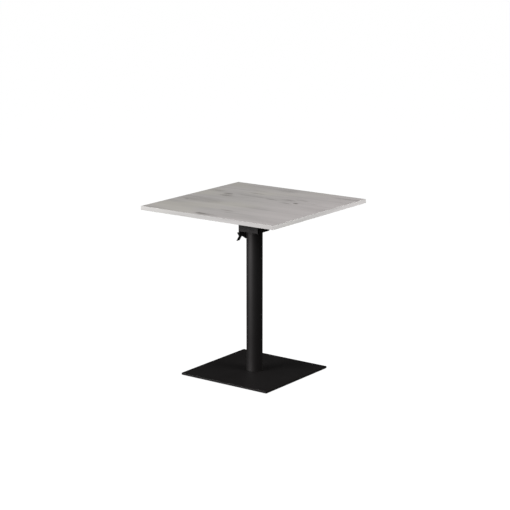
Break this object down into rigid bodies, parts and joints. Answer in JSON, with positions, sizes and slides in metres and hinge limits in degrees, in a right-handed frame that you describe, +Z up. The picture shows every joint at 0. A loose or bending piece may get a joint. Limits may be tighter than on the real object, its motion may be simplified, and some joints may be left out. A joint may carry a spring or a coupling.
{
  "type": "fold-up pedestal table",
  "caption": "Square flip-top table on a round steel column and a flat base plate: a finger lever frees the top, which tips upright on two hinge studs.",
  "frame": {"origin": "on the floor under the column's axis, at the middle of the footprint", "axes": "+Z up; -X towards the finger lever; +X towards the hinge, on which side the top stands when it is tipped up; the hinge's axis lies along Y"},
  "size_m": [0.68, 0.68, 0.75],
  "materials": {
    "black_powder_coat": "fine-textured matt black powder coat on steel",
    "zinc_steel": "bright zinc plating on steel fasteners",
    "grey_wood_decor": "light grey wood-grain laminate and matching edging, satin",
    "grey_backing": "plain grey balancing sheet",
    "chipboard": "raw chipboard",
    "black_rubber": "matt black rubber",
    "black_plastic": "moulded black nylon"
  },
  "bodies": {
    "pedestal": {"base_plate": "black_powder_coat", "base_screw_1": "zinc_steel", "base_screw_2": "zinc_steel", "base_screw_3": "zinc_steel", "base_screw_4": "zinc_steel", "column_foot": "black_powder_coat", "column_tube": "black_powder_coat", "column_cap": "black_powder_coat", "head_saddle": "black_powder_coat", "saddle_screw_1": "zinc_steel", "saddle_screw_2": "zinc_steel", "saddle_screw_3": "zinc_steel", "saddle_screw_4": "zinc_steel", "rest_buffer_left": "black_rubber", "rest_buffer_right": "black_rubber", "hinge_stud_left": "zinc_steel", "hinge_stud_right": "zinc_steel", "hinge_washer_left": "zinc_steel", "hinge_washer_right": "zinc_steel", "hinge_clip_left": "zinc_steel", "hinge_clip_right": "zinc_steel", "stop_stud_left": "black_powder_coat", "stop_stud_right": "black_powder_coat", "latch_bracket": "black_powder_coat", "latch_pin": "zinc_steel", "latch_clip": "zinc_steel", "latch_spring": "zinc_steel"},
    "lever": {"latch_lever": "black_powder_coat"},
    "top": {"table_core": "chipboard", "laminate_sheet": "grey_wood_decor", "backing_sheet": "grey_backing", "edge_band_front": "grey_wood_decor", "edge_band_back": "grey_wood_decor", "edge_band_left": "grey_wood_decor", "edge_band_right": "grey_wood_decor", "mounting_plate": "black_powder_coat", "top_screw_1": "zinc_steel", "top_screw_2": "zinc_steel", "top_screw_3": "zinc_steel", "top_screw_4": "zinc_steel", "top_screw_5": "zinc_steel", "top_screw_6": "zinc_steel", "strike_bracket": "black_powder_coat", "strike_rivet_1": "zinc_steel", "strike_rivet_2": "zinc_steel", "hinge_bush_left": "black_plastic", "hinge_bush_right": "black_plastic"},
    "foot_1": {"foot_pad_1": "black_plastic", "foot_stud_1": "zinc_steel"},
    "foot_2": {"foot_pad_2": "black_plastic", "foot_stud_2": "zinc_steel"},
    "foot_3": {"foot_pad_3": "black_plastic", "foot_stud_3": "zinc_steel"},
    "foot_4": {"foot_pad_4": "black_plastic", "foot_stud_4": "zinc_steel"}
  },
  "joints": [
    {"name": "top_tilt", "type": "hinge", "parent": "pedestal", "child": "top", "pos_m": [0.033, 0, 0.6974], "axis": [0, 1, 0], "range_deg": [0, 90]},
    {"name": "latch_press", "type": "hinge", "parent": "pedestal", "child": "lever", "pos_m": [-0.075, 0, 0.6644], "axis": [0, -1, 0], "range_deg": [-3, 8], "stiffness_Nm_per_rad": 2, "springref_deg": -3, "deforming": ["latch_spring"]},
    {"name": "foot_1_wind", "type": "slide", "parent": "pedestal", "child": "foot_1", "axis": [0, 0, -1], "range_m": [0, 0.004]},
    {"name": "foot_2_wind", "type": "slide", "parent": "pedestal", "child": "foot_2", "axis": [0, 0, -1], "range_m": [0, 0.004]},
    {"name": "foot_3_wind", "type": "slide", "parent": "pedestal", "child": "foot_3", "axis": [0, 0, -1], "range_m": [0, 0.004]},
    {"name": "foot_4_wind", "type": "slide", "parent": "pedestal", "child": "foot_4", "axis": [0, 0, -1], "range_m": [0, 0.004]}
  ]
}
